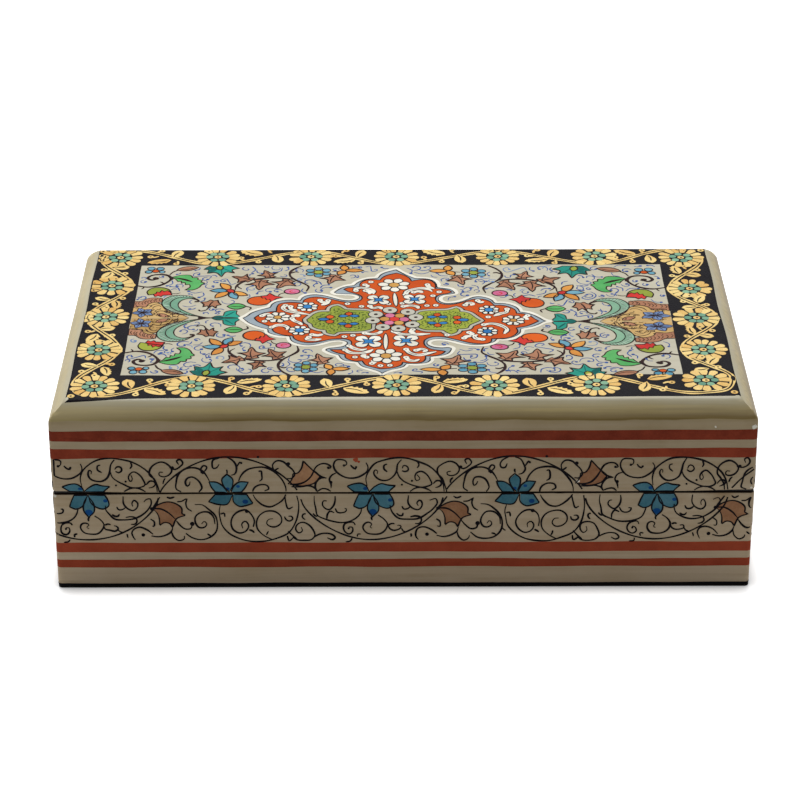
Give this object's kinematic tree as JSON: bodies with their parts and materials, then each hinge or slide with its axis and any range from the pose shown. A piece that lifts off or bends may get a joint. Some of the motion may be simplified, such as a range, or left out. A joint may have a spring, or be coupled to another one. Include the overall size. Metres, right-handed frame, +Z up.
{
  "type": "papier mache box",
  "caption": "Flat rectangular papier mache keepsake box with a bevelled lift-off lid, an inner locating lip, and painted floral panels and side bands.",
  "frame": {"origin": "centre of the underside, on the surface that the box stands on", "axes": "+X right along the long side, +Y from the front to the back, +Z up through the lid"},
  "size_m": [0.178, 0.102, 0.0522],
  "materials": {
    "painted_skin": "stone-grey ground paint under clear gloss varnish",
    "pulp_board": "pressed paper pulp, black lacquered where it shows inside",
    "lip_strip": "black lacquered softwood strip",
    "underside_flock": "black flocked sheet"
  },
  "bodies": {
    "base": {"underside_sheet": "underside_flock", "base_floor_board": "pulp_board", "base_front_board": "pulp_board", "base_back_board": "pulp_board", "base_left_board": "pulp_board", "base_right_board": "pulp_board", "lip_front_strip": "lip_strip", "lip_back_strip": "lip_strip", "lip_left_strip": "lip_strip", "lip_right_strip": "lip_strip", "base_skin": "painted_skin"},
    "lid": {"lid_top_board": "pulp_board", "lid_front_board": "pulp_board", "lid_back_board": "pulp_board", "lid_left_board": "pulp_board", "lid_right_board": "pulp_board", "lid_skin": "painted_skin"}
  },
  "joints": [
    {"name": "lid_lift", "type": "slide", "parent": "base", "child": "lid", "axis": [0, 0, 1], "range_m": [0, 0.08]}
  ]
}
